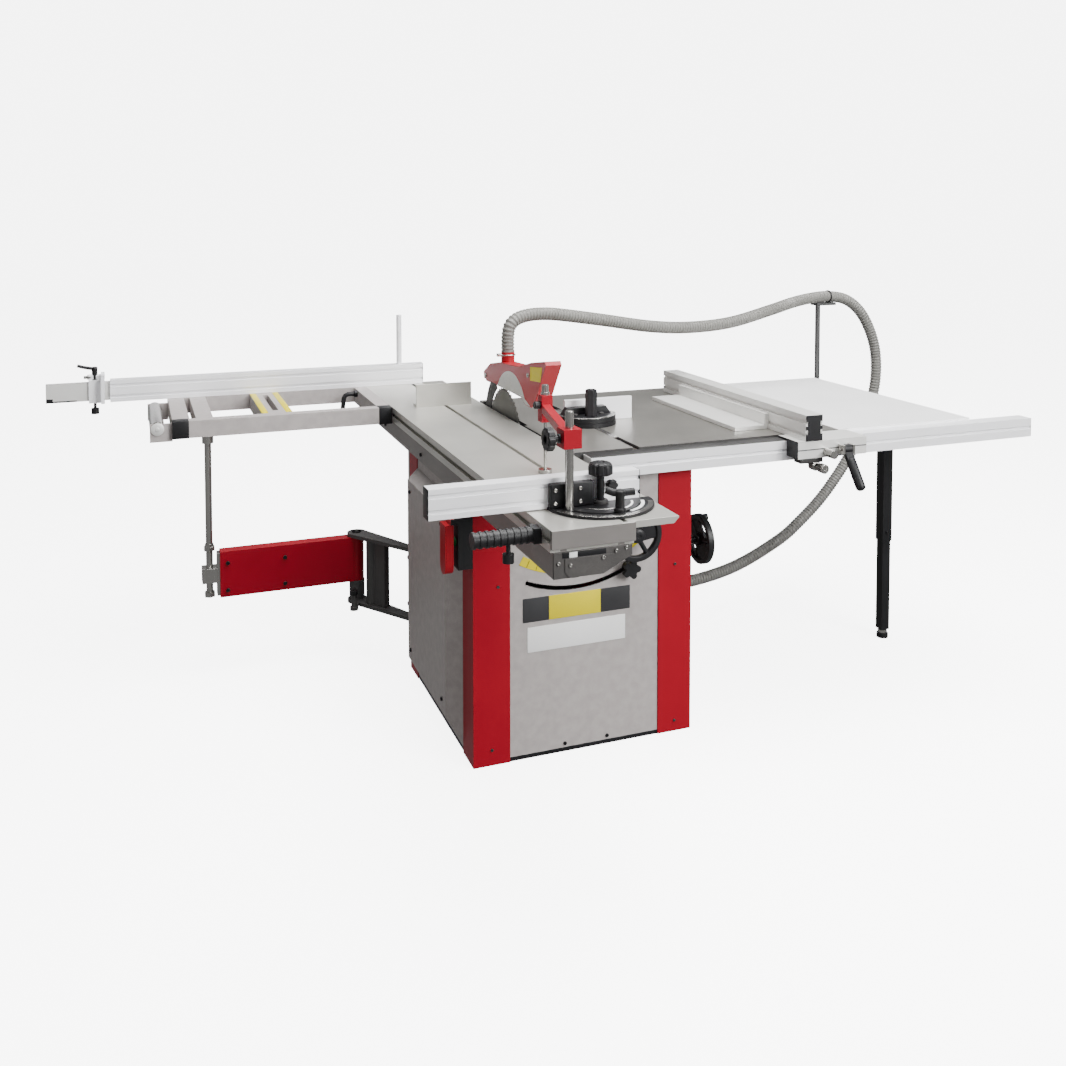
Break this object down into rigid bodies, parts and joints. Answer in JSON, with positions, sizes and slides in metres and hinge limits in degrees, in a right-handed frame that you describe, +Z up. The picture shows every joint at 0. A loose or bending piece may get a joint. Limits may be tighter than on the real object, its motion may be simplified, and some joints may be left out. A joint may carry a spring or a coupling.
{
  "type": "sliding table saw",
  "caption": "Panel saw on a cabinet: sliding table with outrigger, swing arm and cross-cut fences, rip fence on a rail, and a tilting, rising blade under a guard with a suction hose.",
  "frame": {"origin": "on the floor under the centre of the cabinet", "axes": "+X to the operator's right, +Y away from the operator along the sliding table, +Z up"},
  "size_m": [3.1799, 2.01, 1.2043],
  "materials": {
    "red_paint": "satin paint",
    "grey_paint": "satin paint",
    "white_paint": "satin paint",
    "black_paint": "satin paint",
    "motor_paint": "satin paint",
    "cast_iron": "ground",
    "aluminium": "anodised",
    "steel": "brushed",
    "black_plastic": "fine grain",
    "red_plastic": "moulded",
    "green_plastic": "moulded",
    "grey_plastic": "ribbed and moulded",
    "rubber": "matt"
  },
  "bodies": {
    "frame": {"base_pan": "black_paint", "corner_posts": "red_paint", "front_panel": "grey_paint", "side_panels": "grey_paint", "rear_panel": "grey_paint", "left_cover": "grey_paint", "dust_hood": "grey_paint", "main_table": "cast_iron", "side_table": "cast_iron", "extension_table": "white_paint", "front_rail": "aluminium", "leg_upper": "black_paint", "guide_beam": "steel", "switch_box": "black_plastic", "hose_support": "steel", "suction_hose": "grey_plastic", "arm_bracket": "black_paint", "trunnion_brackets": "cast_iron"},
    "slider": {"sliding_table": "aluminium", "table_end_plates": "grey_plastic", "push_handle": "black_plastic", "stop_plate": "aluminium", "outrigger_beams": "grey_paint", "outrigger_bars": "grey_paint", "support_rod": "steel"},
    "roller": {"outrigger_roller": "steel"},
    "out_lever": {"clamp_lever": "black_plastic"},
    "front_unit": {"protractor": "black_paint", "front_fence": "aluminium", "fence_column": "steel"},
    "clamp": {"clamp_arm": "red_paint"},
    "clamp_screw": {"clamp_spindle": "steel"},
    "rear_unit": {"rear_fence": "aluminium"},
    "fence_end": {"fence_extension": "aluminium"},
    "stop_slider": {"stop_carriage": "black_plastic"},
    "stop_flap": {"flip_stop": "black_paint"},
    "rip": {"rip_carriage": "aluminium", "rip_fence": "aluminium"},
    "rip_side": {"aux_fence": "aluminium"},
    "rip_handle": {"rip_lever": "black_plastic"},
    "mitre": {"mitre_bar": "steel"},
    "mitre_turn": {"mitre_head": "black_paint"},
    "saw_tilt": {"cradle": "cast_iron"},
    "saw_lift": {"arbor_carriage": "cast_iron", "motor": "motor_paint", "drive_belt": "rubber", "riving_knife": "black_paint", "blade_guard": "red_plastic"},
    "spindle": {"arbor_spindle": "steel", "saw_blade": "steel", "blade_flange": "steel"},
    "motor_drive": {"motor_pulley": "steel"},
    "height_drive": {"height_wheel": "black_plastic"},
    "tilt_drive": {"tilt_wheel": "black_plastic"},
    "lock": {"lock_knob": "black_plastic"},
    "arm": {"swing_arm": "red_paint"},
    "arm_inner": {"arm_extension": "steel"},
    "leg": {"leg_lower": "black_paint"},
    "paddle": {"stop_paddle": "red_plastic"},
    "button": {"start_button": "green_plastic"}
  },
  "joints": [
    {"name": "table_travel", "type": "slide", "parent": "frame", "child": "slider", "axis": [0, 1, 0], "range_m": [-0.9, 0.9]},
    {"name": "roller_spin", "type": "hinge", "parent": "slider", "child": "roller", "pos_m": [-1.119, 0.7, 0.827], "axis": [0, 1, 0], "continuous": true},
    {"name": "outrigger_clamp", "type": "hinge", "parent": "slider", "child": "out_lever", "pos_m": [-0.379, 0.9, 0.782], "axis": [0, 0, 1], "range_deg": [-50, 50]},
    {"name": "front_fence_swing", "type": "hinge", "parent": "slider", "child": "front_unit", "pos_m": [-0.176, -0.845, 0.85], "axis": [0, 0, 1], "range_deg": [-45, 45]},
    {"name": "clamp_height", "type": "slide", "parent": "front_unit", "child": "clamp", "axis": [0, 0, 1], "range_m": [0, 0.035]},
    {"name": "clamp_press", "type": "slide", "parent": "clamp", "child": "clamp_screw", "axis": [0, 0, 1], "range_m": [0, 0.08]},
    {"name": "rear_fence_swing", "type": "hinge", "parent": "slider", "child": "rear_unit", "pos_m": [-0.176, 0.978, 0.85], "axis": [0, 0, 1], "range_deg": [0, 45]},
    {"name": "fence_draw", "type": "slide", "parent": "rear_unit", "child": "fence_end", "axis": [-1, 0, 0], "range_m": [0, 0.25]},
    {"name": "stop_travel", "type": "slide", "parent": "fence_end", "child": "stop_slider", "axis": [-1, 0, 0], "range_m": [0, 0.13]},
    {"name": "stop_flip", "type": "hinge", "parent": "stop_slider", "child": "stop_flap", "pos_m": [-1.29, 0.978, 0.9435], "axis": [-1, 0, 0], "range_deg": [0, 110]},
    {"name": "rip_travel", "type": "slide", "parent": "frame", "child": "rip", "axis": [1, 0, 0], "range_m": [-0.19, 0.6]},
    {"name": "rip_side_slide", "type": "slide", "parent": "rip", "child": "rip_side", "axis": [0, 1, 0], "range_m": [-0.15, 0.14]},
    {"name": "rip_clamp", "type": "hinge", "parent": "rip", "child": "rip_handle", "pos_m": [0.794, -0.47, 0.822], "axis": [-1, 0, 0], "range_deg": [0, 80]},
    {"name": "mitre_travel", "type": "slide", "parent": "frame", "child": "mitre", "axis": [0, 1, 0], "range_m": [-0.12, 0.2]},
    {"name": "mitre_swing", "type": "hinge", "parent": "mitre", "child": "mitre_turn", "pos_m": [0.163, 0.04, 0.85], "axis": [0, 0, 1], "range_deg": [-45, 45]},
    {"name": "tilt", "type": "hinge", "parent": "frame", "child": "saw_tilt", "pos_m": [-0.036, 0, 0.85], "axis": [0, 1, 0], "range_deg": [0, 45], "deforming": ["suction_hose"]},
    {"name": "rise", "type": "slide", "parent": "saw_tilt", "child": "saw_lift", "axis": [0, 0, 1], "range_m": [-0.055, 0], "deforming": ["suction_hose"]},
    {"name": "blade_spin", "type": "hinge", "parent": "saw_lift", "child": "spindle", "pos_m": [-0.036, 0.248, 0.7825], "axis": [1, 0, 0], "continuous": true},
    {"name": "motor_spin", "type": "hinge", "parent": "saw_lift", "child": "motor_drive", "pos_m": [0.106, 0.248, 0.5925], "axis": [1, 0, 0], "continuous": true},
    {"name": "height_turn", "type": "hinge", "parent": "saw_tilt", "child": "height_drive", "pos_m": [0.124, -0.425, 0.623], "axis": [0, 1, 0], "range_deg": [-200, 0]},
    {"name": "tilt_turn", "type": "hinge", "parent": "frame", "child": "tilt_drive", "pos_m": [0.425, -0.246, 0.526], "axis": [1, 0, 0], "range_deg": [0, 720]},
    {"name": "lock_turn", "type": "hinge", "parent": "saw_tilt", "child": "lock", "pos_m": [0.13015, -0.38, 0.50936], "axis": [0, 1, 0], "range_deg": [0, 180]},
    {"name": "arm_swing", "type": "hinge", "parent": "frame", "child": "arm", "pos_m": [-0.48, 0.53, 0.3365], "axis": [0, 0, 1], "range_deg": [-62, 62]},
    {"name": "arm_extend", "type": "slide", "parent": "arm", "child": "arm_inner", "axis": [-1, 0, 0], "range_m": [0, 0.35]},
    {"name": "leg_height", "type": "slide", "parent": "frame", "child": "leg", "axis": [0, 0, 1], "range_m": [0, 0.12]},
    {"name": "paddle_turn", "type": "hinge", "parent": "frame", "child": "paddle", "pos_m": [-0.3885, -0.323, 0.6925], "axis": [0, 1, 0], "range_deg": [-3, 70], "stiffness_Nm_per_rad": 5},
    {"name": "button_push", "type": "slide", "parent": "frame", "child": "button", "axis": [1, 0, 0], "range_m": [0, 0.004], "stiffness_N_per_m": 500}
  ],
  "couplings": [
    {"joint": "motor_spin", "follows": "blade_spin", "ratio": 0.75},
    {"joint": "height_turn", "follows": "rise", "rad_per_m": 61.92},
    {"joint": "tilt_turn", "follows": "tilt", "ratio": 16},
    {"joint": "arm_swing", "follows": "table_travel", "rad_per_m": -1.2}
  ]
}
